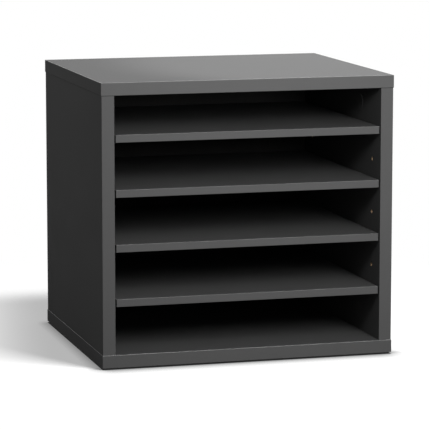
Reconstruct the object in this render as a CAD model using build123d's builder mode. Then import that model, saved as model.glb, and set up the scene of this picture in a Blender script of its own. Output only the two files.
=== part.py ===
from build123d import *
from math import cos, radians, sin
import os

# Desktop literature organizer: an open-fronted cabinet of laminated board with loose shelves.
# X runs across the front, Y from the front (negative) to the rear, Z up from the desk top.
# Sizes are in millimetres. Diameters of holes are the drilled sizes; what goes into a hole
# is smaller by a named fit.

# Drilled holes and small round fittings repeat often, so each is a prism with this many sides.
# The counts are multiples of four, so a fitting turned by a half circle still matches its hole.
disc_sides = 32
shown_sides = 16
hidden_sides = 12

# Cabinet
cabinet_width = 355.0
cabinet_depth = 305.0
side_height = 303.0            # side panels stand between the bottom and top panels
board_thickness = 15.0         # top, bottom and side panels
cap_overhang = 0.6             # top and bottom panels beyond the side panels, all round

# Edge banding on every edge that shows
band_thickness = 1.0
arris_chamfer = 0.5
band_joint_gap = 0.1           # hairline where two strips butt at a corner

# Shelves and the drilled rows that carry them
shelf_count = 4
shelf_thickness = 9.0
shelf_setback = 1.5            # shelf front behind the cabinet front
shelf_rear_gap = 1.5           # shelf rear in front of the back panel
hole_pitch = 32.0
steps_per_shelf = 2            # hole steps from one shelf to the next
pin_row_inset = 31.0           # front row from the cabinet front, rear row from the back panel
pin_hole_diameter = 5.0
pin_hole_depth = 10.0

# Shelf pins
pin_fit = 0.05                 # radial
pin_end_slack = 1.0            # hole left beyond the pin
pin_tip_chamfer = 0.6
pin_collar_diameter = 9.0
pin_collar_thickness = 1.0
pin_collar_clearance = 0.75    # from the collar to the end of the shelf
pin_tongue_diameter = 7.0
pin_tongue_length = 9.0
pin_nose_chamfer = 0.8
pin_seat_rise = 1.0            # flat of the tongue above the hole's axis

# Back panel in its grooves
back_thickness = 3.0
back_inset = 8.0               # rear face of the back panel from the cabinet's rear
groove_depth = 6.0
groove_slack = 0.2             # on each face of the back panel
back_edge_slack = 0.5          # on each edge, the lower one excepted, which stands in its groove

# Cam locks, two at each end of each side panel
cam_inset = 76.0               # from the front and from the rear of the cabinet
cam_setback = 24.0             # cam centre from the end of the side panel
cam_bore_diameter = 15.0
cam_skin = 2.7                 # board left behind the cam's bore
cam_sink = 0.3                 # cam's face below the face of the panel
cam_fit = 0.1                  # radial
cam_wall = 2.1                 # mean wall round the pocket that takes the bolt's head
cam_throw = 0.6                # pocket's centre off the cam's centre, which draws the bolt in
cam_slot_length = 9.0
cam_slot_width = 1.8
cam_slot_depth = 2.0
cam_turn = 190.0               # degrees from the entry to the locked bolt
cam_entry_slack = 0.15         # entry wider than the pocket, on each side

# Cam bolts, screwed into the top and bottom panels
bolt_bore_diameter = 8.0       # channel from the end of the side panel to the cam
bolt_thread_diameter = 5.0
bolt_thread_length = 10.0
bolt_end_slack = 1.0           # screw hole left beyond the bolt
bolt_tip_chamfer = 0.8
bolt_fit = 0.05                # radial, in its screw hole
bolt_shank_fit = 0.25          # radial, in its channel
bolt_shank_gap = 3.5           # from the end of the shank to the bore of the cam
bolt_neck_diameter = 4.4
bolt_head_diameter = 6.0
bolt_head_clearance = 0.1      # round the head and the neck, inside the cam
ball_latitudes = (-67.5, -22.5, 22.5, 67.5)

# Dowels beside the cam bolts
dowel_diameter = 8.0
dowel_length = 30.0
dowel_in_cap = 10.0            # length in the top or bottom panel
dowel_spacing = 32.0           # from the cam bolt, towards the middle of the panel
dowel_fit = 0.05               # radial
dowel_end_slack = 1.0
dowel_chamfer = 1.0

# Cover discs over the cams, and pads under the bottom panel
cover_diameter = 19.0
cover_thickness = 0.35
pad_diameter = 20.0
pad_thickness = 2.0
pad_inset = 24.0              # pad centre from both edges of the bottom panel

# Levels and places that follow from the sizes above
bottom_low = pad_thickness
joint_low = bottom_low + board_thickness
joint_high = joint_low + side_height
top_high = joint_high + board_thickness
side_middle = (joint_low + joint_high) / 2

inner_half = cabinet_width / 2 - cap_overhang - board_thickness
joint_x = inner_half + board_thickness / 2
side_depth = cabinet_depth - 2 * cap_overhang
front_y = -cabinet_depth / 2
rear_y = cabinet_depth / 2
back_rear_y = rear_y - back_inset
back_front_y = back_rear_y - back_thickness
band_arris = min(arris_chamfer, band_thickness / 2)

cam_y = cabinet_depth / 2 - cam_inset
dowel_y = cam_y - dowel_spacing

hole_levels = (shelf_count - 1) * steps_per_shelf + 1
first_hole = joint_low + (side_height - (hole_levels - 1) * hole_pitch) / 2
hole_heights = [first_hole + level * hole_pitch for level in range(hole_levels)]
pin_rows = (front_y + pin_row_inset, back_front_y - pin_row_inset)

shelf_end_gap = pin_collar_thickness + pin_collar_clearance
shelf_width = 2 * (inner_half - shelf_end_gap)
shelf_front_y = front_y + shelf_setback
shelf_depth = back_front_y - shelf_rear_gap - shelf_front_y
shelf_middle_y = shelf_front_y + shelf_depth / 2

cam_radius = cam_bore_diameter / 2 - cam_fit
cam_height = board_thickness - cam_skin - cam_sink
pocket_radius = cam_radius - cam_wall
head_radius = bolt_head_diameter / 2
head_offset = pocket_radius - cam_throw - head_radius - bolt_head_clearance

on_floor = (Align.CENTER, Align.CENTER, Align.MIN)


def save(piece, name):
    piece.part.label = name
    export_step(piece.part, f"parts/{name}.step")


def side_face(side, y, z, bolt_way=1):
    """Plane on the inner face of a side panel: Z into the board, Y up or down as bolt_way."""
    return Plane(origin=(side * inner_half, y, z), x_dir=(0, side * bolt_way, 0), z_dir=(side, 0, 0))


# Flat boards and their banding


def cap_panel(low, joint, into):
    """Top or bottom panel, drilled and grooved on the face that meets the side panels."""
    with BuildPart() as panel:
        with Locations((0, 0, low)):
            Box(cabinet_width - 2 * band_thickness, cabinet_depth - 2 * band_thickness, board_thickness,
                align=on_floor)
        with BuildSketch(Plane.XY.offset(joint)):
            with GridLocations(2 * joint_x, 2 * cam_y, 2, 2):
                RegularPolygon(bolt_thread_diameter / 2, hidden_sides)
        extrude(amount=into * (bolt_thread_length + bolt_end_slack), mode=Mode.SUBTRACT)
        with BuildSketch(Plane.XY.offset(joint)):
            with GridLocations(2 * joint_x, 2 * dowel_y, 2, 2):
                RegularPolygon(dowel_diameter / 2, hidden_sides)
        extrude(amount=into * (dowel_in_cap + dowel_end_slack), mode=Mode.SUBTRACT)
        with BuildSketch(Plane.XY.offset(joint)):
            with Locations((0, back_front_y + back_thickness / 2)):
                Rectangle(2 * (inner_half + groove_depth), back_thickness + 2 * groove_slack)
        extrude(amount=into * groove_depth, mode=Mode.SUBTRACT)
    return panel


def side_panel(side):
    """Side panel: shelf-pin rows, cam bores, end drilling and the groove for the back panel."""
    inside = side_face(side, 0, 0)
    with BuildPart() as panel:
        with Locations((side * joint_x, 0, joint_low)):
            Box(board_thickness, side_depth - 2 * band_thickness, side_height, align=on_floor)
        with BuildSketch(inside):
            with Locations(*[(side * y, z) for y in pin_rows for z in hole_heights]):
                RegularPolygon(pin_hole_diameter / 2, shown_sides)
        extrude(amount=pin_hole_depth, mode=Mode.SUBTRACT)
        with BuildSketch(inside):
            with Locations((0, side_middle)):
                with GridLocations(2 * cam_y, side_height - 2 * cam_setback, 2, 2):
                    RegularPolygon(cam_bore_diameter / 2, hidden_sides)
        extrude(amount=cam_sink + cam_height, mode=Mode.SUBTRACT)
        with BuildSketch(inside):
            with Locations((side * (back_front_y + back_thickness / 2), side_middle)):
                Rectangle(back_thickness + 2 * groove_slack, side_height)
        extrude(amount=groove_depth, mode=Mode.SUBTRACT)
        for end, inward in ((joint_low, 1), (joint_high, -1)):
            with BuildSketch(Plane.XY.offset(end)):
                with Locations((side * joint_x, cam_y), (side * joint_x, -cam_y)):
                    RegularPolygon(bolt_bore_diameter / 2, hidden_sides)
            extrude(amount=inward * cam_setback, mode=Mode.SUBTRACT)
            with BuildSketch(Plane.XY.offset(end)):
                with Locations((side * joint_x, dowel_y), (side * joint_x, -dowel_y)):
                    RegularPolygon(dowel_diameter / 2, hidden_sides)
            extrude(amount=inward * (dowel_length - dowel_in_cap + dowel_end_slack), mode=Mode.SUBTRACT)
    return panel


def banding_all_round(width, depth, thickness, middle_y, low):
    """Four strips round a flat board, eased on every arris, with butt joints at the corners."""
    with BuildPart() as band:
        with Locations((0, middle_y, low)):
            Box(width, depth, thickness, align=on_floor)
        chamfer(band.edges(), band_arris)
        with Locations((0, middle_y, low)):
            Box(width - 2 * band_thickness, depth - 2 * band_thickness, thickness,
                align=on_floor, mode=Mode.SUBTRACT)
        with Locations((0, middle_y, low)):
            with GridLocations(width - band_thickness, depth - 2 * band_thickness - band_joint_gap, 2, 2):
                Box(band_thickness, band_joint_gap, thickness, align=on_floor, mode=Mode.SUBTRACT)
    return band


def side_banding(side):
    """Front and rear strips of a side panel, eased along their upright arrises."""
    with BuildPart() as band:
        with Locations((side * joint_x, 0, joint_low)):
            Box(board_thickness, side_depth, side_height, align=on_floor)
        chamfer(band.edges().filter_by(Axis.Z), band_arris)
        with Locations((side * joint_x, 0, joint_low)):
            Box(board_thickness, side_depth - 2 * band_thickness, side_height,
                align=on_floor, mode=Mode.SUBTRACT)
    return band


def shelf_board(low):
    with BuildPart() as board:
        with Locations((0, shelf_middle_y, low)):
            Box(shelf_width - 2 * band_thickness, shelf_depth - 2 * band_thickness, shelf_thickness,
                align=on_floor)
    return board


# One of each fitting, made on its own axis


def shelf_pin():
    """Shelf pin: shaft along +Z into the board, collar on the board, tongue with its flat to +Y."""
    with BuildPart() as pin:
        with BuildSketch():
            RegularPolygon(pin_tongue_diameter / 2, shown_sides)
            with Locations((0, pin_seat_rise)):
                Rectangle(pin_tongue_diameter, pin_tongue_diameter,
                          align=(Align.CENTER, Align.MIN), mode=Mode.SUBTRACT)
        extrude(amount=-pin_tongue_length)
        chamfer(pin.faces().sort_by(Axis.Z)[0].edges(), pin_nose_chamfer)
        with BuildSketch():
            RegularPolygon(pin_collar_diameter / 2, shown_sides)
        extrude(amount=-pin_collar_thickness)
        with BuildSketch():
            RegularPolygon(pin_hole_diameter / 2 - pin_fit, shown_sides)
        extrude(amount=pin_hole_depth - pin_end_slack)
        chamfer(pin.faces().sort_by(Axis.Z)[-1].edges(), pin_tip_chamfer)
    return pin


def cam_lock():
    """Eccentric cam: axis along +Z into the board, bolt coming in from +Y at half board depth."""
    bolt_level = board_thickness / 2
    bolt_bearing = 90
    head_room = bolt_head_diameter + 2 * bolt_head_clearance
    neck_room = bolt_neck_diameter + 2 * bolt_head_clearance
    entry_angle = bolt_bearing - cam_turn
    with BuildPart() as cam:
        with BuildSketch(Plane.XY.offset(cam_sink)):
            RegularPolygon(cam_radius, hidden_sides)
        extrude(amount=cam_height)
        # Off-centre pocket that takes the head of the bolt
        with BuildSketch(Plane.XY.offset(bolt_level - head_room / 2)):
            with Locations((0, -cam_throw)):
                RegularPolygon(pocket_radius, hidden_sides)
        extrude(amount=head_room, mode=Mode.SUBTRACT)
        # Slot in the wall that the neck of the bolt runs along as the cam turns
        with BuildSketch(Plane.XY.offset(bolt_level - neck_room / 2)):
            with BuildLine():
                rim = CenterArc((0, 0), cam_bore_diameter, entry_angle, cam_turn)
                Line(rim @ 1, (0, 0))
                Line((0, 0), rim @ 0)
            make_face()
            Rectangle(neck_room, cam_bore_diameter, align=(Align.CENTER, Align.MIN))
        extrude(amount=neck_room, mode=Mode.SUBTRACT)
        # Wide end of the slot, where the head goes in
        entry = Plane(origin=(0, 0, bolt_level), x_dir=(0, 0, 1),
                      z_dir=Vector(1, 0, 0).rotate(Axis.Z, entry_angle))
        with BuildSketch(entry):
            RegularPolygon(head_room / 2 + cam_entry_slack, hidden_sides)
        extrude(amount=cam_bore_diameter, mode=Mode.SUBTRACT)
        # Cross recess for the screwdriver
        with BuildSketch(Plane.XY.offset(cam_sink)):
            Rectangle(cam_slot_length, cam_slot_width)
            Rectangle(cam_slot_width, cam_slot_length)
        extrude(amount=cam_slot_depth, mode=Mode.SUBTRACT)
    return cam


def cam_bolt():
    """Ball-headed bolt: +Z is the screw end in the cap panel, Z = 0 is the joint."""
    thread_radius = bolt_thread_diameter / 2 - bolt_fit
    shank_radius = bolt_bore_diameter / 2 - bolt_shank_fit
    neck_radius = bolt_neck_diameter / 2
    shank_end = bolt_shank_gap + cam_bore_diameter / 2 - cam_setback
    taper_end = shank_end - (shank_radius - neck_radius)
    head_centre = head_offset - cam_setback
    with BuildPart() as bolt:
        with BuildSketch():
            RegularPolygon(thread_radius, hidden_sides)
        extrude(amount=bolt_thread_length)
        chamfer(bolt.faces().sort_by(Axis.Z)[-1].edges(), bolt_tip_chamfer)
        with BuildSketch():
            RegularPolygon(shank_radius, hidden_sides)
        extrude(amount=shank_end)
        with BuildSketch(Plane.XY.offset(shank_end)):
            RegularPolygon(shank_radius, hidden_sides)
        with BuildSketch(Plane.XY.offset(taper_end)):
            RegularPolygon(neck_radius, hidden_sides)
        loft(ruled=True)
        with BuildSketch(Plane.XY.offset(taper_end)):
            RegularPolygon(neck_radius, hidden_sides)
        extrude(amount=head_centre - taper_end)
        # Ball head, as rings of a sphere
        for latitude in ball_latitudes:
            with BuildSketch(Plane.XY.offset(head_centre + head_radius * sin(radians(latitude)))):
                RegularPolygon(head_radius * cos(radians(latitude)), hidden_sides)
        loft(ruled=True)
    return bolt


def dowel():
    """Chamfered dowel: +Z end in the cap panel, Z = 0 is the joint."""
    with BuildPart() as peg:
        with BuildSketch(Plane.XY.offset(dowel_in_cap)):
            RegularPolygon(dowel_diameter / 2 - dowel_fit, hidden_sides)
        extrude(amount=-dowel_length)
        chamfer(peg.faces().filter_by(Axis.Z).edges(), dowel_chamfer)
    return peg


def cover_disc():
    """Thin cover disc on the face of the board, towards the inside of the cabinet."""
    with BuildPart() as disc:
        with BuildSketch():
            RegularPolygon(cover_diameter / 2, disc_sides)
        extrude(amount=-cover_thickness)
    return disc


def foot_pad():
    """Stick-on pad: Z = 0 is the desk, the top is stuck to the bottom panel."""
    with BuildPart() as pad:
        with BuildSketch():
            RegularPolygon(pad_diameter / 2, disc_sides)
        extrude(amount=pad_thickness)
    return pad


def copies(fitting, places):
    """A set of separate, equal fittings at the given planes."""
    with BuildPart() as fittings:
        with Locations(*places):
            add(fitting.part)
    return fittings


# The whole cabinet
os.makedirs("parts", exist_ok=True)

save(cap_panel(joint_high, joint_high, 1), "top_panel")
save(cap_panel(bottom_low, joint_low, -1), "bottom_panel")
save(banding_all_round(cabinet_width, cabinet_depth, board_thickness, 0, joint_high), "top_edge_band")
save(banding_all_round(cabinet_width, cabinet_depth, board_thickness, 0, bottom_low), "bottom_edge_band")

for side, side_name in ((-1, "left"), (1, "right")):
    save(side_panel(side), f"{side_name}_side_panel")
    save(side_banding(side), f"{side_name}_side_edge_band")

with BuildPart() as back_panel:
    with Locations((0, back_front_y + back_thickness / 2, joint_low - groove_depth)):
        Box(2 * (inner_half + groove_depth - back_edge_slack), back_thickness,
            side_height + 2 * (groove_depth - back_edge_slack), align=on_floor)
save(back_panel, "back_panel")

# Shelves are numbered from the top
for number in range(1, shelf_count + 1):
    pin_height = hole_heights[(shelf_count - number) * steps_per_shelf]
    seat = pin_height + pin_seat_rise
    save(shelf_board(seat), f"shelf_{number}")
    save(banding_all_round(shelf_width, shelf_depth, shelf_thickness, shelf_middle_y, seat),
         f"shelf_{number}_edge_band")
    pin_places = [side_face(side, y, pin_height) for side in (-1, 1) for y in pin_rows]
    save(copies(shelf_pin(), pin_places), f"shelf_{number}_pins")

# Joints between the sides and the two cap panels
for end_name, joint, up in (("top", joint_high, 1), ("bottom", joint_low, -1)):
    cam_height_at = joint - up * cam_setback
    cam_places = [side_face(side, y, cam_height_at, up) for side in (-1, 1) for y in (-cam_y, cam_y)]
    bolt_places = [Plane(origin=(side * joint_x, y, joint), z_dir=(0, 0, up))
                   for side in (-1, 1) for y in (-cam_y, cam_y)]
    dowel_places = [Plane(origin=(side * joint_x, y, joint), z_dir=(0, 0, up))
                    for side in (-1, 1) for y in (-dowel_y, dowel_y)]
    save(copies(cam_lock(), cam_places), f"{end_name}_cam_locks")
    save(copies(cam_bolt(), bolt_places), f"{end_name}_cam_bolts")
    save(copies(dowel(), dowel_places), f"{end_name}_dowels")
    save(copies(cover_disc(), cam_places), f"{end_name}_cam_covers")

pad_x = cabinet_width / 2 - pad_inset
pad_y = cabinet_depth / 2 - pad_inset
pad_places = [Plane(origin=(x, y, 0)) for x in (-pad_x, pad_x) for y in (-pad_y, pad_y)]
save(copies(foot_pad(), pad_places), "foot_pads")

print(f"overall {cabinet_width} x {cabinet_depth} x {top_high} mm, shelf {shelf_width} x {shelf_depth} mm")
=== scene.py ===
# %% [markdown]
# A desktop literature organizer, dressed for its picture.
#
# The real object is an open-fronted cabinet of dark laminated board with four loose shelves. The
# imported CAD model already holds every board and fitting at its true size, so it is loaded first as
# a fixed frame: nothing in it is moved, and each Blender piece below goes where the frame says.

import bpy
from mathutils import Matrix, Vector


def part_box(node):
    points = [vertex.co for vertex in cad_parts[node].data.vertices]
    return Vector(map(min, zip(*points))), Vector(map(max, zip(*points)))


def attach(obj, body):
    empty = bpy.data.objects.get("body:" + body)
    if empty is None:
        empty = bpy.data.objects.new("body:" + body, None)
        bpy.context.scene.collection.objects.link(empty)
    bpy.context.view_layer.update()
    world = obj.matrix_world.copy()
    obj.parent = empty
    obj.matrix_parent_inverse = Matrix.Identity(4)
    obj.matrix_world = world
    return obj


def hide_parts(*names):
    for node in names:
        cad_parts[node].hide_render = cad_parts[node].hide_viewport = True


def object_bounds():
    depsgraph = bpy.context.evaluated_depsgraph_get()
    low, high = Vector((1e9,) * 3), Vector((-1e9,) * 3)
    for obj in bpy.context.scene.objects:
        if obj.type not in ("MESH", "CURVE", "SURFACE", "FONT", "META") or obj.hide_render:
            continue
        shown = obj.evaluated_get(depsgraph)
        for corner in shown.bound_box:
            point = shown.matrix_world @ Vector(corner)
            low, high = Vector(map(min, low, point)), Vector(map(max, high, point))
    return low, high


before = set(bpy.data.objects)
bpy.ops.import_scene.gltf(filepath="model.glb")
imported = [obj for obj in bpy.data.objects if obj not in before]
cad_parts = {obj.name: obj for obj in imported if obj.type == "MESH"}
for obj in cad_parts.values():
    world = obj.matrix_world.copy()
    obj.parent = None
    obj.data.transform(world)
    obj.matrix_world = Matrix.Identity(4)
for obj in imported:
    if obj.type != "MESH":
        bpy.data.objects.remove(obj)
cad_low, cad_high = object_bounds()

# %% Tools that every later cell uses
import math

import bmesh
import bpy
from mathutils import Matrix, Vector

millimetre = 0.001
cabinet_size = cad_high - cad_low
print("cabinet, mm:", [round(side / millimetre, 1) for side in cabinet_size])

# %% [markdown]
# The camera stands about three metres off, to the left of the front and above the top, and uses a
# long lens. A long lens keeps the upright edges almost parallel, as they are in the photograph.
# Place and angles were worked out from the corners of the cabinet, so no lens shift is needed.

# %% Camera
picture_pixels = 430
focal_pixels = 2599.4
sensor_width = 36.0
camera_place = Vector((-0.8577, -3.0351, 0.6321))
camera_pitch = math.radians(8.637)
camera_yaw = math.radians(15.799)
level_gaze = math.radians(90)

lens_data = bpy.data.cameras.new("long_lens")
lens_data.sensor_width = sensor_width
lens_data.lens = focal_pixels / picture_pixels * sensor_width
camera = bpy.data.objects.new("camera", lens_data)
camera.location = camera_place
camera.rotation_euler = (level_gaze - camera_pitch, 0, -camera_yaw)
bpy.context.scene.collection.objects.link(camera)
bpy.context.scene.camera = camera
bpy.context.scene.view_settings.view_transform = "Standard"
print("lens, mm:", round(lens_data.lens, 1))

# %% [markdown]
# Materials here are graphs of nodes. Wiring them by hand hides the idea behind them, so one small
# class wraps a socket and lets a mask be written as a sum, such as 1 - mask. Each operator adds a
# Math node. Any other node comes from its one method: type, settings, then values or links.

# %% Shader sums
class Flow:
    """A socket of a node tree. Sums of flows and numbers add Math nodes to that tree."""

    def __init__(self, tree, socket=None):
        self.tree = tree
        self.socket = socket

    def node(self, kind, settings=None, inputs=None, output=0):
        """Adds a node: its settings first, then its sockets. Gives the flow of one output."""
        made = self.tree.nodes.new(kind)
        for key, value in (settings or {}).items():
            if key == "stops":
                ramp = made.color_ramp.elements
                while len(ramp) < len(value):
                    ramp.new(1.0)
                for stop, (place, colour) in zip(ramp, value):
                    stop.position = place
                    stop.color = colour
            else:
                setattr(made, key, value)
        for key, value in (inputs or {}).items():
            if isinstance(value, Flow):
                self.tree.links.new(value.socket, made.inputs[key])
            else:
                made.inputs[key].default_value = value
        return Flow(self.tree, made.outputs[output] if len(made.outputs) else None)

    def math(self, operation, first, second=0.0):
        return self.node("ShaderNodeMath", {"operation": operation}, {0: first, 1: second})

    def __add__(self, other):
        return self.math("ADD", self, other)

    def __radd__(self, other):
        return self.math("ADD", other, self)

    def __sub__(self, other):
        return self.math("SUBTRACT", self, other)

    def __rsub__(self, other):
        return self.math("SUBTRACT", other, self)

    def __mul__(self, other):
        return self.math("MULTIPLY", self, other)

    def __rmul__(self, other):
        return self.math("MULTIPLY", other, self)

    def __lt__(self, other):
        return self.math("LESS_THAN", self, other)

    def __gt__(self, other):
        return self.math("GREATER_THAN", self, other)

    def __abs__(self):
        return self.math("ABSOLUTE", self)

    def larger(self, other):
        return self.math("MAXIMUM", self, other)

    def blend(self, first, second):
        """Mixes two colours by this flow: first at 0, second at 1."""
        return self.node("ShaderNodeMix", {"data_type": "RGBA"}, {0: self, 6: first, 7: second}, 2)


print("shader sums ready")

# %% Helpers for finishes
def new_finish(name):
    """An empty material, the flow that its nodes are added to, and the place on the object."""
    material = bpy.data.materials.new(name)
    material.use_nodes = True
    material.node_tree.nodes.clear()
    flow = Flow(material.node_tree)
    return material, flow, flow.node("ShaderNodeTexCoord", output="Object")


def part(vector, axis):
    """One axis of a vector."""
    return vector.node("ShaderNodeSeparateXYZ", inputs={0: vector}, output=axis)


def stretched(place, scale):
    """The place with its axes scaled, so that a pattern on it runs long or short."""
    return place.node("ShaderNodeMapping", inputs={"Vector": place, "Scale": scale})


def ramped(value, low, high, shape="SMOOTHSTEP"):
    """0 up to the low value, 1 from the high one on, and a ramp between them."""
    return value.node("ShaderNodeMapRange", {"interpolation_type": shape}, {
        "Value": value, "From Min": low, "From Max": high})


def either(mask, first, second):
    """The first shader where the mask is 0, the second where it is 1."""
    return mask.node("ShaderNodeMixShader", inputs={0: mask, 1: first, 2: second})


def surface(flow, sockets):
    """Closes a material with a Principled shader that has these values and links."""
    shader = flow.node("ShaderNodeBsdfPrincipled", inputs=sockets)
    flow.node("ShaderNodeOutputMaterial", inputs={"Surface": shader})


def grey(level):
    return (level, level, level, 1.0)


white = grey(1.0)
print("white:", white)

# %% [markdown]
# The world is a white studio. Eyes and mirrors see it at full white, and the Light Path node gives
# bounced light a much weaker one, because a world that is bright all round would wash out the bays.

# %% White world
ambient_level = 0.09


def seen_directly(flow):
    """1 for rays from the camera, a mirror or a glass, 0 for bounced light."""
    camera_ray = flow.node("ShaderNodeLightPath", output="Is Camera Ray")
    glossy_ray = flow.node("ShaderNodeLightPath", output="Is Glossy Ray")
    glass_ray = flow.node("ShaderNodeLightPath", output="Is Transmission Ray")
    return camera_ray.larger(glossy_ray).larger(glass_ray)


world = bpy.data.worlds.new("white_studio")
bpy.context.scene.world = world
world.use_nodes = True
world.node_tree.nodes.clear()
sky = Flow(world.node_tree)
backdrop = sky.node("ShaderNodeBackground", inputs={"Color": white, "Strength": 1.0})
ambient = sky.node("ShaderNodeBackground", inputs={"Color": white, "Strength": ambient_level})
sky_light = either(seen_directly(sky), ambient, backdrop)
sky.node("ShaderNodeOutputWorld", inputs={"Surface": sky_light})
print("ambient level:", ambient_level)

# %% [markdown]
# The floor is a plain pale table, so wide that its edge is never seen. In the photograph only the
# soft shadow of the cabinet is left of it. That shadow thins out to the left, and the table is
# darkest in the narrow gap under the base. A lamp alone can't do that, so masks on the table's own
# coordinates help it: distance from the cabinet, distance to the left, and an Ambient Occlusion
# node that dims the table close to the base and seats the cabinet on it.

# %% A sheet for the table
floor_half = 6.0

floor_mesh = bmesh.new()
bmesh.ops.create_grid(floor_mesh, x_segments=1, y_segments=1, size=floor_half)
floor_data = bpy.data.meshes.new("pale_table")
floor_mesh.to_mesh(floor_data)
floor_mesh.free()
floor = bpy.data.objects.new("pale_table", floor_data)
bpy.context.scene.collection.objects.link(floor)
print("table, m:", 2 * floor_half)

# %% Where the table is dim
shadow_near = 0.36             # metres from the middle of the cabinet
shadow_far = 0.64
shadow_lean = 0.18             # the shadow thins out to the left, and a little to the rear
thin_near = 0.198
thin_far = 0.372
contact_front = 0.030          # how far the cabinet dims the table before it
contact_side = 0.017           # and beside it
contact_samples = 16

table_finish, table, table_place = new_finish("table_white")
across = part(table_place, "X")
inward = part(table_place, "Y")
from_cabinet = table.node("ShaderNodeVectorMath", {"operation": "LENGTH"}, {0: table_place}, "Value")
fade = ramped(from_cabinet, shadow_near, shadow_far)
thinning = ramped(inward * shadow_lean - across, thin_near, thin_far)
beside = ramped(inward, cad_low.y - contact_side, cad_low.y + contact_side, "LINEAR")
covered = (abs(across) < cad_high.x) * (abs(inward) < cad_high.y)
reach = contact_front - beside * (contact_front - contact_side)
openness = table.node("ShaderNodeAmbientOcclusion", {"samples": contact_samples}, {
    "Distance": reach}, "AO")
uncovered = openness * openness.larger(beside) * (1 - covered)
print("shadow fades out, m:", shadow_near, "to", shadow_far)

# %% [markdown]
# Lighting a table until it clips to white would flood the cabinet with bounced light, so the Light
# Path node parts the two jobs here too: eyes and mirrors see a white table that keeps its shadow,
# and bounced light meets a darker one. From below the table is clear, so that the underside of the
# cabinet can be looked at.

# %% Table finish
table_shade = 0.43             # what is left of the white inside the deepest shadow
table_albedo = 0.60            # what the lamps add to it
table_bounce = 0.02            # the table as bounced light meets it
gap_light = 0.020              # what little light is left in the gap under the base


def glow(level):
    return table.node("ShaderNodeEmission", inputs={"Color": white, "Strength": level})


def matt(level):
    return table.node("ShaderNodeBsdfDiffuse", inputs={"Color": grey(level)})


open_part = table.node("ShaderNodeAddShader", inputs={0: matt(table_albedo), 1: glow(table_shade)})
near_part = either(uncovered, glow(gap_light), open_part)
seen_table = either(fade.larger(thinning), near_part, glow(1.0))
table_surface = either(seen_directly(table), matt(table_bounce), seen_table)
from_below = table.node("ShaderNodeNewGeometry", output="Backfacing")
shadow_ray = table.node("ShaderNodeLightPath", output="Is Shadow Ray")
clear = table.node("ShaderNodeBsdfTransparent", inputs={"Color": white})
one_way_table = either(from_below.larger(shadow_ray), table_surface, clear)
table.node("ShaderNodeOutputMaterial", inputs={"Surface": one_way_table})
floor_data.materials.append(table_finish)
print("table nodes:", len(table_finish.node_tree.nodes))

# %% [markdown]
# Soft boxes light the set, as in a small product studio. One hangs high over the top panel, and a
# spot with a soft rim adds light to the right-hand part of it. Two stand before the front, close
# enough that the fronts darken towards the table, and low enough to reach a hand's breadth into the
# bays. A weak one lifts the left side, and one behind shows the back and the right side when the
# cabinet is looked at from there. One under the table stands for the light that a white table
# throws back up at the base. The shadow on the table comes from a lamp of its own, far off on the
# right: light linking lets each lamp light either the cabinet or the table, so the shadow can be
# placed without changing the light on the boards.

# %% Lamps and what they light
aim_point = Vector((0.0, 0.0, 0.17))


def linked(name, state):
    """A collection that limits a lamp to the table, or keeps a lamp off it."""
    collection = bpy.data.collections.new(name)
    collection.objects.link(floor)
    collection.collection_objects[0].light_linking.link_state = state
    return collection


def hung(lamp, place, lights_up):
    """Hangs a lamp at a place, out of the camera's sight, pointing straight down."""
    holder = bpy.data.objects.new(lamp.name, lamp)
    holder.location = place
    holder.visible_camera = False
    holder.light_linking.receiver_collection = lights_up
    bpy.context.scene.collection.objects.link(holder)
    return holder


def soft_box(name, place, width, height, power, lights_up):
    """An area lamp at a place, turned towards the cabinet."""
    lamp = bpy.data.lights.new(name, "AREA")
    lamp.shape = "RECTANGLE"
    lamp.size = width
    lamp.size_y = height
    lamp.energy = power
    box = hung(lamp, place, lights_up)
    box.rotation_euler = (Vector(place) - aim_point).to_track_quat("Z", "Y").to_euler()
    return box


not_table = linked("all_but_the_table", "EXCLUDE")
only_table = linked("only_the_table", "INCLUDE")
print("light goes to:", not_table.name, "or", only_table.name)

# %% Soft boxes, as name, place, width, height and watts
cabinet_boxes = [
    ("top_box", (0.00, 0.00, 1.60), 0.25, 0.25, 19.1),
    ("front_box", (0.20, -0.95, 0.49), 0.25, 0.25, 3.9),
    ("near_box", (-0.10, -0.70, 0.56), 0.14, 0.14, 1.2),
    ("side_box", (-0.90, 0.10, 0.90), 0.25, 0.25, 1.4),
    ("rear_box", (0.80, 1.10, 0.70), 0.40, 0.40, 24.0),
    ("under_box", (0.00, 0.05, -0.80), 0.40, 0.40, 5.0),
]
table_box = ("table_box", (2.03, -2.60, 5.00), 1.80, 0.95, 455.0)
boxes = {values[0]: soft_box(*values, not_table) for values in cabinet_boxes}
boxes["rear_box"].visible_glossy = False       # or the top panel would mirror it
soft_box(*table_box, only_table)
print("soft boxes:", list(boxes), table_box[0])

# %% Spot on the top panel
spot_place = (0.26, 0.03, 1.50)
spot_power = 42.0
spot_cone = math.radians(39)
spot_rim = 0.48                # share of the cone that is rim

spot = bpy.data.lights.new("top_spot", "SPOT")
spot.energy = spot_power
spot.spot_size = spot_cone
spot.spot_blend = spot_rim
hung(spot, spot_place, not_table)
print("spot, degrees:", round(math.degrees(spot_cone)))

# %% [markdown]
# The boards are chipboard faced with dark grey melamine, a printed paper pressed on with a very fine
# pebble. A picture of it would be an image texture; noise at two scales gives the same cloudiness
# and tooth at any distance. Where a drill or a groove saw went through the film, the tan chips show:
# the graph reads where a point lies through the thickness of its board.

# %% Noise and bump
fine = 2.0                     # octaves of noise
cloudy = 3.0
patchy = 4.0


def grain(place, count, octaves=fine):
    """Noise from 0 to 1. Count is the number of its blotches to the metre."""
    return place.node("ShaderNodeTexNoise", inputs={"Vector": place, "Scale": count, "Detail": octaves})


def mixed(first, second, share):
    """A share of the first noise, and the rest from the second."""
    return first * share + second * (1 - share)


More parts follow.
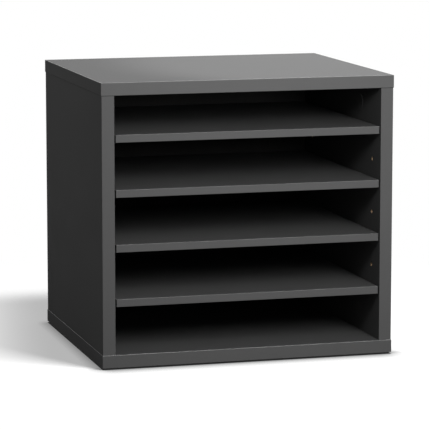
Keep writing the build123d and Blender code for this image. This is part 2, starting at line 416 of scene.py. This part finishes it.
def between(noise, low, high):
    """Carries noise from 0 to 1 over to a range."""
    return noise * (high - low) + low


def raised(height, depth):
    """A bump of that depth in metres, for a shader's Normal."""
    return height.node("ShaderNodeBump", inputs={"Height": height, "Distance": depth, "Strength": 1.0})


print("octaves of noise:", fine, cloudy, patchy)

# %% Raw chips
chip_count = 620.0             # chips to the metre
splinter_count = 2400.0
chip_share = 0.7
chip_stops = [
    (0.00, (0.30, 0.190, 0.100, 1.0)),
    (0.35, (0.55, 0.380, 0.220, 1.0)),
    (0.75, (0.74, 0.560, 0.360, 1.0)),
    (1.00, (0.86, 0.700, 0.500, 1.0)),
]


def chipboard(place):
    """Colour of sawn or drilled chipboard, and the height of its chips."""
    chips = place.node("ShaderNodeTexVoronoi", inputs={"Vector": place, "Scale": chip_count},
                       output="Color")
    chance = chips.node("ShaderNodeSeparateColor", inputs={"Color": chips}, output="Red")
    pick = mixed(chance, grain(place, splinter_count), chip_share)
    return pick.node("ShaderNodeValToRGB", {"stops": chip_stops}, {"Fac": pick}), pick


print("chips, mm:", round(1 / chip_count / millimetre, 1))

# %% Laminate on the boards
board_dark = grey(0.086)
board_light = grey(0.104)
board_roughness = (0.74, 0.86)
matt_specular = 0.08
side_specular = 0.03           # the uprights are the mattest
film = 0.05 * millimetre
film_clouds = 28.0
film_pebbles = 1500.0
film_share = 0.55              # clouds in the mottle, the rest is pebble
film_tooth = 0.03 * millimetre
chip_relief = 6.0              # bare chips stand out this much more than the pebble


def laminate(name, low, high, axis, specular):
    """Melamine on both faces of a board, and bare chips inside its thickness along the axis."""
    material, flow, place = new_finish(name)
    clouds = grain(place, film_clouds, cloudy)
    pebble = grain(place, film_pebbles)
    mottle = mixed(clouds, pebble, film_share)
    bare = abs(part(place, axis) - (low + high) / 2) < (high - low) / 2 - film
    chips, chip_height = chipboard(place)
    surface(flow, {
        "Base Color": bare.blend(mottle.blend(board_dark, board_light), chips),
        "Roughness": between(clouds, *board_roughness),
        "Specular IOR Level": specular,
        "Normal": raised(pebble + bare * chip_height * chip_relief, film_tooth)})
    return material


def dress(node, material):
    """Gives a CAD node that stays its finish."""
    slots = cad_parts[node].data.materials
    slots.clear()
    slots.append(material)


shelves = ["shelf_1", "shelf_2", "shelf_3", "shelf_4"]
flat_boards = ["top_panel", "bottom_panel"] + shelves
upright_boards = ["left_side_panel", "right_side_panel"]
for board in flat_boards:
    low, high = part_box(board)
    dress(board, laminate(board + "_laminate", low.z, high.z, "Z", matt_specular))
for board in upright_boards:
    low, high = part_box(board)
    dress(board, laminate(board + "_laminate", low.x, high.x, "X", side_specular))
print("boards dressed:", len(flat_boards) + len(upright_boards))

# %% [markdown]
# The back is a sheet of hardboard, 3 mm thick, painted dark on both faces. Its inner face is
# smooth. The rear face keeps the print of the wire screen that it was pressed on, a small crossed
# wave, which two sines make more evenly than a wave texture would.

# %% Hardboard back
back_dark = grey(0.030)
back_light = (0.046, 0.045, 0.044, 1.0)
back_roughness = (0.75, 0.90)
back_specular = 0.05
back_tooth = 0.05 * millimetre
screen_pitch = 1.4 * millimetre
screen_relief = 2.0            # the print stands out this much more than the fibres
fibre_count = 420.0
fibre_stretch = (1.0, 1.0, 0.35)
back_clouds = 24.0
half = 0.5

back_low, back_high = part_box("back_panel")
back_finish, flow, place = new_finish("painted_hardboard")
wires = 2 * math.pi / screen_pitch
screen = flow.math("SINE", part(place, "X") * wires) * flow.math("SINE", part(place, "Z") * wires)
rear_face = part(place, "Y") > (back_low.y + back_high.y) / 2
fibres = grain(stretched(place, fibre_stretch), fibre_count, cloudy)
clouds = grain(place, back_clouds, cloudy)
surface(flow, {
    "Base Color": mixed(fibres, clouds, half).blend(back_dark, back_light),
    "Roughness": between(fibres, *back_roughness),
    "Specular IOR Level": back_specular,
    "Normal": raised(fibres + rear_face * screen * screen_relief, back_tooth)})
dress("back_panel", back_finish)
print("back, mm:", round((back_high.y - back_low.y) / millimetre, 2))

# %% [markdown]
# Every edge that shows wears a millimetre of plastic edging, glued on and then scraped, so its long
# arrises are round. The CAD strips have plain chamfers. Round strips are made by starting from a
# cube, scaling it to the strip, and bevelling only the edges that face outwards.

# %% A strip of edging
edging_arris = 0.4 * millimetre
arris_steps = 4


def ease(mesh, edges, offset, steps):
    """Rounds edges of a mesh."""
    bmesh.ops.bevel(mesh, geom=edges, offset=offset, offset_type="OFFSET", segments=steps,
                    profile=0.5, affect="EDGES", material=-1, clamp_overlap=True)


def strip(mesh, low, high, inner, open_ends):
    """Adds one strip of edging. Inner points from the strip to its board. Open ends are eased too."""
    made = bmesh.ops.create_cube(mesh, size=1.0)["verts"]
    size = high - low
    middle = (low + high) / 2
    bmesh.ops.scale(mesh, vec=size, verts=made)
    bmesh.ops.translate(mesh, vec=middle, verts=made)
    longest = max(range(3), key=lambda way: size[way])
    eased = []
    for edge in dict.fromkeys(edge for vert in made for edge in vert.link_edges):
        ends = [(vert.co - middle).dot(inner) for vert in edge.verts]
        along = edge.verts[1].co - edge.verts[0].co
        if max(ends) < 0 and (open_ends or abs(along[longest]) > size[longest] / 2):
            eased.append(edge)
        if open_ends and min(ends) < 0 < max(ends):
            eased.append(edge)
    ease(mesh, eased, edging_arris, arris_steps)


print("arris, mm:", round(edging_arris / millimetre, 2))

# %% A finished piece
sharp_angle = math.radians(40)


def keep_piece(mesh, name, body, finish, stands_for):
    """Makes a finished bmesh a piece of the object, in place of its CAD node."""
    bmesh.ops.recalc_face_normals(mesh, faces=mesh.faces[:])
    data = bpy.data.meshes.new(name)
    mesh.to_mesh(data)
    mesh.free()
    data.shade_smooth()
    data.set_sharp_from_angle(angle=sharp_angle)
    data.materials.append(finish)
    piece = bpy.data.objects.new(name, data)
    bpy.context.scene.collection.objects.link(piece)
    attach(piece, body)
    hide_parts(stands_for)
    evener = piece.modifiers.new("even_shading", "WEIGHTED_NORMAL")
    evener.keep_sharp = True
    print(name, "faces:", len(data.polygons))


print("sharp from, degrees:", round(math.degrees(sharp_angle)))

# %% [markdown]
# The edging is dyed through in the grey of the boards and has the same fine tooth. Its faces to the
# front and the rear are a little lighter than its sideways faces, which take the boards' tone, and
# lightest on the top panel: painted light where the lamps fall on the front, and painted shade on
# the sides. Hands and papers rub its upper arrises, and a painted highlight is laid there as well,
# brightest on the bottom panel, where it shows as a fine light line. Flat faces have a normal along
# one axis, so a normal that lies between two axes marks an arris, and that is where the rubbed and
# highlit tone goes. A hair of shadow marks the joint under the top panel.

# %% Where the edging is rubbed and given a painted highlight, and where it joins
flat_normal = 0.985            # beyond this a normal lies along an axis
upward_normal = 0.1
sideways_normal = 0.9
rub_and_highlight_count = 90.0
rub_and_highlight_range = (0.5, 0.9)
joint_width = 0.3 * millimetre

edging_finish, flow, place = new_finish("matt_edging")
facing = flow.node("ShaderNodeTexCoord", output="Normal")
along_x = abs(part(facing, "X"))
along_y = abs(part(facing, "Y"))
upwards = part(facing, "Z")
on_arris = along_x.larger(along_y).larger(abs(upwards)) < flat_normal
# Wear and painted highlight: upward-facing arrises only, with a patchy strength.
rub_and_highlight = on_arris * (upwards > upward_normal) * between(grain(place, rub_and_highlight_count, patchy), *rub_and_highlight_range)
top_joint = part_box("top_edge_band")[0].z
# Below this height, on the bottom panel, the arris gets a brighter painted highlight.
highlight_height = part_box("bottom_edge_band")[1].z + joint_width
height = part(place, "Z")
in_joint = abs(height - top_joint) < joint_width
print("joint under the top, mm:", round(top_joint / millimetre, 1))

# %% Edging finish
# Painted light and shade by facing: front and rear faces get this lighter tone, sideways faces the
# boards' darker one.
lit_front_dark = grey(0.130)
lit_front_light = grey(0.151)
# Painted light: the top panel's edging is lighter still.
lit_top_dark = grey(0.141)
lit_top_light = grey(0.165)
# Rubbed arrises, lightened further as a painted highlight; the bottom panel's is brightest.
edging_rubbed_and_highlit = grey(0.320)
bottom_arris_highlight = grey(0.620)
joint_shadow = grey(0.030)
edging_roughness = (0.72, 0.84)
rubbed_polish = 0.15
edging_pebbles = 1700.0
edging_clouds = 40.0
edging_tooth = 0.02 * millimetre

pebble = grain(place, edging_pebbles)
clouds = grain(place, edging_clouds, cloudy)
mottle = mixed(clouds, pebble, half)
# Painted light on the front and rear faces, lightest on the top panel; painted shade where sideways
# faces take the boards' tone.
lit_top_mask = height > top_joint
lit_front_tone = mottle.blend(lit_top_mask.blend(lit_front_dark, lit_top_dark), lit_top_mask.blend(lit_front_light, lit_top_light))
shaded_end_tone = mottle.blend(board_dark, board_light)
painted_facing_tone = (along_x > sideways_normal).blend(lit_front_tone, shaded_end_tone)
# Painted highlight on upward arrises, brightest on the bottom panel's arris.
rub_and_highlight_tone = (height < highlight_height).blend(edging_rubbed_and_highlit, bottom_arris_highlight)
surface(flow, {
    "Base Color": rub_and_highlight.blend(in_joint.blend(painted_facing_tone, joint_shadow), rub_and_highlight_tone),
    "Roughness": between(clouds, *edging_roughness) - rub_and_highlight * rubbed_polish,
    "Specular IOR Level": side_specular,
    "Normal": raised(pebble, edging_tooth)})
print("edging nodes:", len(edging_finish.node_tree.nodes))

# %% Edging round the flat boards
edge_thickness = 1.0 * millimetre
butt_gap = 0.1 * millimetre
to_front = Vector((0, -1, 0))
to_right = Vector((1, 0, 0))


def front_and_rear(mesh, low, high, open_ends):
    """Strips on the front and the rear edge of a board."""
    strip(mesh, low, Vector((high.x, low.y + edge_thickness, high.z)), -to_front, open_ends)
    strip(mesh, Vector((low.x, high.y - edge_thickness, low.z)), high, to_front, open_ends)


def edging_round(name, node, body):
    """Front and rear strips run through; the left and right strips butt between them."""
    low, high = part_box(node)
    mesh = bmesh.new()
    front_and_rear(mesh, low, high, True)
    side_low = Vector((low.x, low.y + edge_thickness + butt_gap, low.z))
    side_high = Vector((high.x, high.y - edge_thickness - butt_gap, high.z))
    left_high = Vector((low.x + edge_thickness, side_high.y, high.z))
    right_low = Vector((high.x - edge_thickness, side_low.y, low.z))
    strip(mesh, side_low, left_high, to_right, False)
    strip(mesh, right_low, side_high, -to_right, False)
    keep_piece(mesh, name, body, edging_finish, node)


edging_round("top_edging", "top_edge_band", "carcass")
edging_round("bottom_edging", "bottom_edge_band", "carcass")
for shelf in shelves:
    edging_round(shelf + "_edging", shelf + "_edge_band", shelf)

# %% Edging on the side panels
for side_name in ("left", "right"):
    node = side_name + "_side_edge_band"
    mesh = bmesh.new()
    front_and_rear(mesh, *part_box(node), False)
    keep_piece(mesh, side_name + "_side_edging", "carcass", edging_finish, node)

# %% [markdown]
# Each shelf lies on four moulded plastic pins. A pin is round, so its outline is drawn once and spun
# round its axis. The tongue under the shelf is then cut flat on top, where the board rests.

# %% Outlines to spin, and cuts to close
turn_steps = 32
spin_axis = Vector((0, 0, 1))
weld_distance = 0.001 * millimetre


def drawn(mesh, outline):
    """Points of an outline given as (radius, height) in millimetres."""
    return [mesh.verts.new((radius * millimetre, 0, rise * millimetre)) for radius, rise in outline]


def turned(mesh, outline):
    """Spins an outline into a closed solid."""
    points = drawn(mesh, outline)
    edges = [mesh.edges.new(pair) for pair in zip(points, points[1:])]
    bmesh.ops.spin(mesh, geom=points + edges, axis=spin_axis, cent=(0, 0, 0), dvec=(0, 0, 0),
                   angle=2 * math.pi, steps=turn_steps, use_merge=True, use_duplicate=False)
    bmesh.ops.remove_doubles(mesh, verts=mesh.verts[:], dist=weld_distance)


def fill_holes(mesh):
    """Closes every open rim with a face."""
    rim = [edge for edge in mesh.edges if edge.is_boundary]
    bmesh.ops.holes_fill(mesh, edges=rim, sides=0)


def cut_flat(mesh, place, away):
    """Cuts off what lies beyond a plane and closes the cut."""
    geometry = mesh.verts[:] + mesh.edges[:] + mesh.faces[:]
    bmesh.ops.bisect_plane(mesh, geom=geometry, plane_co=place, plane_no=away, clear_outer=True)
    fill_holes(mesh)


def copies(single, places):
    """A mesh with a copy of a finished shape at each place. Frees the shape."""
    data = bpy.data.meshes.new("single")
    single.to_mesh(data)
    single.free()
    mesh = bmesh.new()
    for place in places:
        before = len(mesh.verts)
        mesh.from_mesh(data)
        bmesh.ops.transform(mesh, matrix=place, verts=mesh.verts[before:])
    bpy.data.meshes.remove(data)
    return mesh


print("steps to a turn:", turn_steps)

# %% Pin plastic
pin_dark = grey(0.020)
pin_light = grey(0.036)
pin_roughness = (0.38, 0.58)
pin_specular = 0.25
pin_tooth = 0.02 * millimetre
mould_count = 2600.0
flow_mark_count = 300.0

pin_finish, flow, place = new_finish("pin_plastic")
flow_marks = grain(place, flow_mark_count, cloudy)
surface(flow, {
    "Base Color": flow_marks.blend(pin_dark, pin_light),
    "Roughness": between(flow_marks, *pin_roughness),
    "Specular IOR Level": pin_specular,
    "Normal": raised(grain(place, mould_count), pin_tooth)})
print("pin roughness:", pin_roughness)

# %% Shape of a shelf pin
tongue_outline = [
    (0, -9.0), (2.5, -9.0), (3.1, -8.8), (3.4, -8.45), (3.5, -8.0), (3.5, -0.5), (0, -0.5)]
peg_outline = [
    (0, -1.0), (4.1, -1.0), (4.4, -0.9), (4.5, -0.6), (4.5, 0), (2.45, 0), (2.45, 8.3),
    (2.2, 8.8), (1.8, 9.0), (0, 9.0)]
seat_rise = 1.0 * millimetre
seat_arris = 0.3 * millimetre
seat_steps = 2
seat_normal = 0.99
quad = 4


def shelf_pin():
    """Tongue with a flat seat, which is the one upward face with many corners, and its round peg."""
    pin = bmesh.new()
    turned(pin, tongue_outline)
    cut_flat(pin, (0, seat_rise, 0), (0, 1, 0))
    seat = [face for face in pin.faces if face.normal.y > seat_normal and len(face.verts) > quad]
    rim = [edge for face in seat for edge in face.edges]
    ease(pin, rim, seat_arris, seat_steps)
    turned(pin, peg_outline)
    return pin


print("seat above the pin's axis, mm:", round(seat_rise / millimetre, 1))

# %% Shelf pins in their places
collar_radius = 4.5 * millimetre
pin_reach = 9.0 * millimetre


def board_axis(side, y, z, inner_x):
    """Places a fitting on a side panel: its Z axis into the board, its Y axis up."""
    into_board = Vector((side, 0, 0))
    up = Vector((0, 0, 1))
    turn = Matrix((up.cross(into_board), up, into_board)).transposed()
    return Matrix.Translation((side * inner_x, y, z)) @ turn.to_4x4()


def on_both_sides(node, radius, depth):
    """The four places of a node's fittings: front and rear, on the left and the right side panel."""
    low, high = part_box(node)
    middle = (low.z + high.z) / 2
    rows = (low.y + radius, high.y - radius)
    return [board_axis(side, y, middle, high.x - depth) for side in (-1, 1) for y in rows]


for shelf in shelves:
    node = shelf + "_pins"
    mesh = copies(shelf_pin(), on_both_sides(node, collar_radius, pin_reach))
    keep_piece(mesh, shelf + "_moulded_pins", "carcass", pin_finish, node)

# %% [markdown]
# Thin stick-on discs hide the cam locks. They are cut from the same film as the boards, so they
# hardly show: a short cone with equal ends makes the disc, and its free rim is eased.

# %% Film of the cover discs
cover_roughness = (0.68, 0.80)
cover_clouds = 60.0

cover_finish, flow, place = new_finish("cover_film")
pebble = grain(place, film_pebbles)
clouds = grain(place, cover_clouds, cloudy)
surface(flow, {
    "Base Color": mixed(clouds, pebble, half).blend(board_dark, board_light),
    "Roughness": between(clouds, *cover_roughness),
    "Specular IOR Level": matt_specular,
    "Normal": raised(pebble, film_tooth)})
print("cover roughness:", cover_roughness)

# %% Cover discs
cover_radius = 9.5 * millimetre
cover_thickness = 0.35 * millimetre
cover_arris = 0.15 * millimetre
disc_steps = 48
rim_steps = 3


def disc(radius, thickness, rims, easing):
    """A disc that stands on its origin. Rims are the heights whose edges are eased."""
    made = bmesh.new()
    bmesh.ops.create_cone(made, cap_ends=True, segments=disc_steps, radius1=radius, radius2=radius,
                          depth=thickness)
    bmesh.ops.translate(made, vec=(0, 0, thickness / 2), verts=made.verts[:])
    near = thickness / 10
    eased = [edge for edge in made.edges for rim in rims
             if all(abs(vert.co.z - rim) < near for vert in edge.verts)]
    ease(made, eased, easing, rim_steps)
    return made


for end_name in ("top", "bottom"):
    node = end_name + "_cam_covers"
    cover = disc(cover_radius, cover_thickness, [0.0], cover_arris)
    mesh = copies(cover, on_both_sides(node, cover_radius, cover_thickness))
    keep_piece(mesh, end_name + "_cover_discs", "carcass", cover_finish, node)

# %% [markdown]
# Under the bottom panel are four stick-on foam pads. Foam is a mass of tiny bubbles, so its colour
# and bump come from the cells of a Voronoi pattern.

# %% Foam
foam_dark = grey(0.012)
foam_light = grey(0.030)
foam_roughness = (0.85, 0.95)
foam_specular = 0.1
foam_depth = 0.15 * millimetre
bubble_count = 1900.0
bubble_share = 0.7
foam_clouds = 200.0

pad_finish, flow, place = new_finish("foam_pad")
bubbles = flow.node("ShaderNodeTexVoronoi", inputs={"Vector": place, "Scale": bubble_count},
                    output="Distance")
clouds = grain(place, foam_clouds)
surface(flow, {
    "Base Color": mixed(bubbles, clouds, bubble_share).blend(foam_dark, foam_light),
    "Roughness": between(clouds, *foam_roughness),
    "Specular IOR Level": foam_specular,
    "Normal": raised(bubbles, foam_depth)})
print("bubbles, mm:", round(1 / bubble_count / millimetre, 1))

# %% Foot pads
pad_radius = 10.0 * millimetre
pad_thickness = 2.0 * millimetre
pad_easing = 0.4 * millimetre


def corner_places(low, high, inset):
    """Four places in plan, by this inset inside a box."""
    return [(x, y) for x in (low.x + inset, high.x - inset) for y in (low.y + inset, high.y - inset)]


low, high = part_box("foot_pads")
pad = disc(pad_radius, pad_thickness, [0.0, pad_thickness], pad_easing)
places = [Matrix.Translation((x, y, low.z)) for x, y in corner_places(low, high, pad_radius)]
keep_piece(copies(pad, places), "round_foot_pads", "carcass", pad_finish, "foot_pads")

# %% [markdown]
# The joints are hidden, but they are what holds the cabinet together. A zinc cam in each side grips
# the ball of a steel bolt in the top or bottom panel. The cams keep their CAD shape, with its
# pocket, slot and cross recess, and get the dull speckle of die-cast zinc.

# %% Cast zinc cams
zinc_dark = (0.34, 0.34, 0.35, 1.0)
zinc_light = (0.56, 0.56, 0.57, 1.0)
zinc_roughness = (0.35, 0.60)
zinc_tooth = 0.03 * millimetre
blotch_count = 260.0
speckle_count = 3000.0
blotch_share = 0.6

zinc_finish, flow, place = new_finish("cast_zinc")
blotches = grain(place, blotch_count, cloudy)
speckle = grain(place, speckle_count)
surface(flow, {
    "Base Color": mixed(blotches, speckle, blotch_share).blend(zinc_dark, zinc_light),
    "Metallic": 1.0,
    "Roughness": between(blotches, *zinc_roughness),
    "Normal": raised(speckle, zinc_tooth)})
dress("top_cam_locks", zinc_finish)
dress("bottom_cam_locks", zinc_finish)
print("cam roughness:", zinc_roughness)

# %% [markdown]
# A bolt is a turned shaft with a ball at one end and a screw thread at the other. A thread is a
# small tooth carried round and along at once, which is spin with a shift at every step.

# %% Plated steel
plating_dark = (0.50, 0.50, 0.49, 1.0)
plating_light = (0.70, 0.70, 0.68, 1.0)
plating_roughness = (0.22, 0.42)
plating_count = 400.0
turning_count = 900.0
turning_stretch = (0.2, 0.2, 4.0)
turning_depth = 0.02 * millimetre

plated_finish, flow, place = new_finish("plated_steel")
plating = grain(place, plating_count, cloudy)
turning = grain(stretched(place, turning_stretch), turning_count)
surface(flow, {
    "Base Color": plating.blend(plating_dark, plating_light),
    "Metallic": 1.0,
    "Roughness": between(plating, *plating_roughness),
    "Normal": raised(turning, turning_depth)})
print("bolt roughness:", plating_roughness)

# %% Shape of a bolt
bolt_outline = [
    (0, -22.4), (2.2, -22.4), (2.2, -14.55), (3.75, -13.0), (3.75, -0.4), (3.4, 0), (1.8, 0),
    (1.8, 9.0), (0.9, 10.0), (0, 10.0)]
ball_radius = 3.0 * millimetre
ball_height = -22.4 * millimetre
ball_steps = 24
tooth_outline = [(1.7, 0.2), (2.4, 0.8), (1.7, 1.4)]
thread_pitch = 1.5 * millimetre
thread_turns = 5
thread_steps = 16


def threaded_bolt():
    bolt = bmesh.new()
    turned(bolt, bolt_outline)
    bmesh.ops.create_uvsphere(bolt, u_segments=ball_steps, v_segments=ball_steps // 2,
                              radius=ball_radius, matrix=Matrix.Translation((0, 0, ball_height)))
    corners = drawn(bolt, tooth_outline)
    sides = [bolt.edges.new(pair) for pair in zip(corners, corners[1:] + corners[:1])]
    bmesh.ops.spin(bolt, geom=corners + sides, axis=spin_axis, cent=(0, 0, 0),
                   dvec=(0, 0, thread_pitch / thread_steps), angle=2 * math.pi * thread_turns,
                   steps=thread_turns * thread_steps, use_merge=False, use_duplicate=False)
    fill_holes(bolt)
    return bolt


print("thread, mm:", round(thread_turns * thread_pitch / millimetre, 1))

# %% Bolts in their places
panel_reach = 10.0 * millimetre        # how far bolts and dowels stand in the top or bottom panel
shank_radius = 3.75 * millimetre
panel_ends = (("top", 1), ("bottom", -1))


def joint_axes(node, radius, up):
    """Places a fitting at each joint: its Z axis up into the top panel, or down into the bottom one."""
    low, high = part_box(node)
    joint = high.z - panel_reach if up > 0 else low.z + panel_reach
    turn = Matrix.Identity(4) if up > 0 else Matrix.Rotation(math.pi, 4, "X")
    return [Matrix.Translation((x, y, joint)) @ turn for x, y in corner_places(low, high, radius)]


for end_name, up in panel_ends:
    node = end_name + "_cam_bolts"
    mesh = copies(threaded_bolt(), joint_axes(node, shank_radius, up))
    keep_piece(mesh, end_name + "_threaded_bolts", "carcass", plated_finish, node)

# %% [markdown]
# Beside each bolt a beech dowel keeps the panels in line. Its flutes let the glue and air out. A
# circle with every other point drawn in is the fluted section, and three extrusions make the peg
# with its tapered ends.

# %% Beech
beech_dark = (0.34, 0.19, 0.095, 1.0)
beech_light = (0.66, 0.46, 0.28, 1.0)
beech_roughness = (0.6, 0.8)
beech_specular = 0.2
beech_tooth = 0.04 * millimetre
ring_count = 700.0
ring_stretch = (1.0, 1.0, 0.06)
ring_share = 0.65
fleck_count = 2200.0
fleck_stretch = (1.0, 1.0, 0.2)

beech_finish, flow, place = new_finish("beech")
rings = grain(stretched(place, ring_stretch), ring_count, cloudy)
flecks = grain(stretched(place, fleck_stretch), fleck_count)
surface(flow, {
    "Base Color": mixed(rings, flecks, ring_share).blend(beech_dark, beech_light),
    "Roughness": between(flecks, *beech_roughness),
    "Specular IOR Level": beech_specular,
    "Normal": raised(rings + flecks, beech_tooth)})
print("dowel roughness:", beech_roughness)

# %% Fluted dowels
dowel_radius = 3.95 * millimetre
flute_depth = 0.3 * millimetre
flutes = 20
dowel_taper = 0.8
dowel_stages = [(1.0, 1.0 / dowel_taper), (28.0, 1.0), (1.0, dowel_taper)]
dowel_low = -20.0 * millimetre


def fluted_dowel():
    """A peg. Its first face stays as its end; later ones would be walls inside and are taken out."""
    peg = bmesh.new()
    ring = bmesh.ops.create_circle(peg, cap_ends=True, segments=2 * flutes, radius=dowel_radius)["verts"]
    inner = (dowel_radius - flute_depth) / dowel_radius
    bmesh.ops.scale(peg, vec=(inner, inner, 1), verts=ring[::2])
    bmesh.ops.scale(peg, vec=(dowel_taper, dowel_taper, 1), verts=ring)
    bmesh.ops.translate(peg, vec=(0, 0, dowel_low), verts=ring)
    face = peg.faces[:]
    for length, widening in dowel_stages:
        grown = bmesh.ops.extrude_face_region(peg, geom=face)["geom"]
        tip = [item for item in grown if isinstance(item, bmesh.types.BMVert)]
        if len(peg.faces) > 2 * flutes + 2:
            bmesh.ops.delete(peg, geom=face, context="FACES_ONLY")
        face = [item for item in grown if isinstance(item, bmesh.types.BMFace)]
        bmesh.ops.translate(peg, vec=(0, 0, length * millimetre), verts=tip)
        bmesh.ops.scale(peg, vec=(widening, widening, 1), verts=tip)
    return peg


for end_name, up in panel_ends:
    node = end_name + "_dowels"
    mesh = copies(fluted_dowel(), joint_axes(node, dowel_radius, up))
    keep_piece(mesh, end_name + "_fluted_dowels", "carcass", beech_finish, node)
